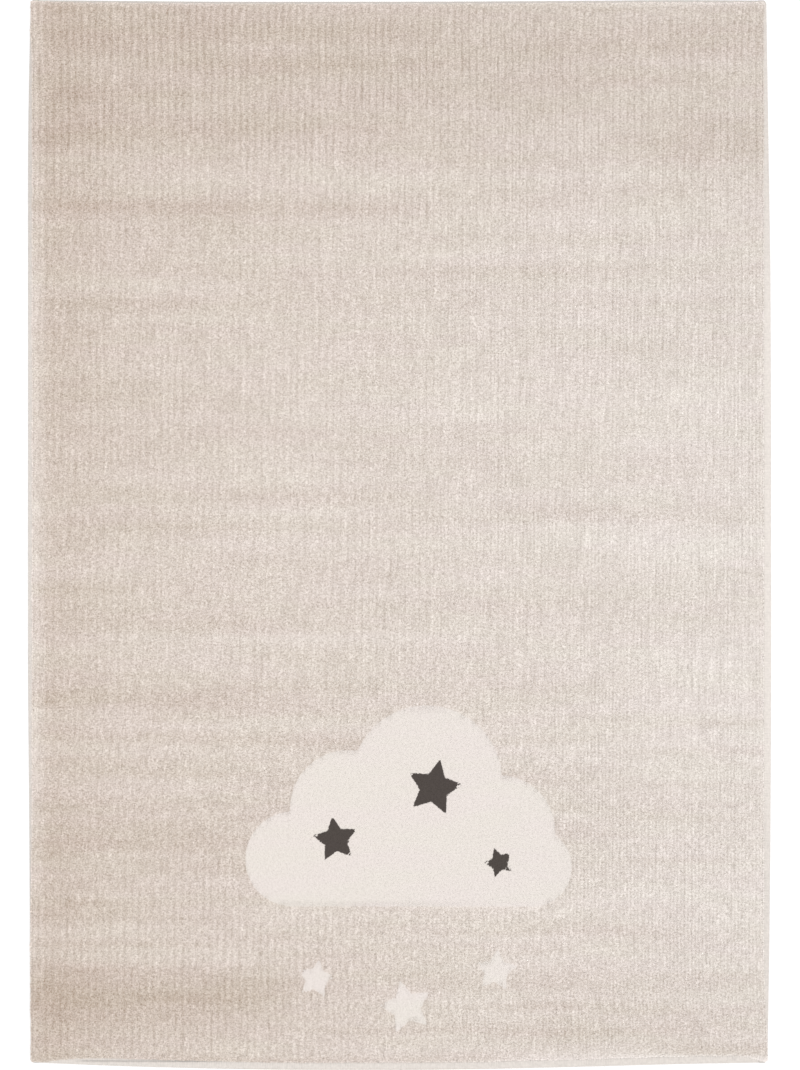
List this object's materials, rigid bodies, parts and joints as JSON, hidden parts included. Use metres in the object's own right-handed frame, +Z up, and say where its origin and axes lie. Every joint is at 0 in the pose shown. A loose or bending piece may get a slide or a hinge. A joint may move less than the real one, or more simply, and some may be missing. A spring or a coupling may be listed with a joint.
{
  "type": "rectangular kids rug",
  "caption": "Rectangular woven pile rug for a child's room: ribbed sand ground, a smooth cream cloud near one end, and overcast yarn binding on every edge.",
  "frame": {"origin": "under the middle of the rug, at the middle of its bounding box, on the floor plane its back lies on", "axes": "+X to the right and +Y toward the plain end as the rug is seen from above with the cloud nearest the viewer, +Z up out of the pile"},
  "size_m": [1.3328, 1.919, 0.011],
  "materials": {
    "sand_pile": "matt short pile in fine ribs, sand with lighter and darker bands, a smooth cream cloud with charcoal stars",
    "binding_yarn": "matt overcast yarn, light cream"
  },
  "bodies": {
    "root": {"rug_field": "sand_pile", "binding_left": "binding_yarn", "binding_right": "binding_yarn", "binding_front": "binding_yarn", "binding_back": "binding_yarn"}
  },
  "joints": []
}
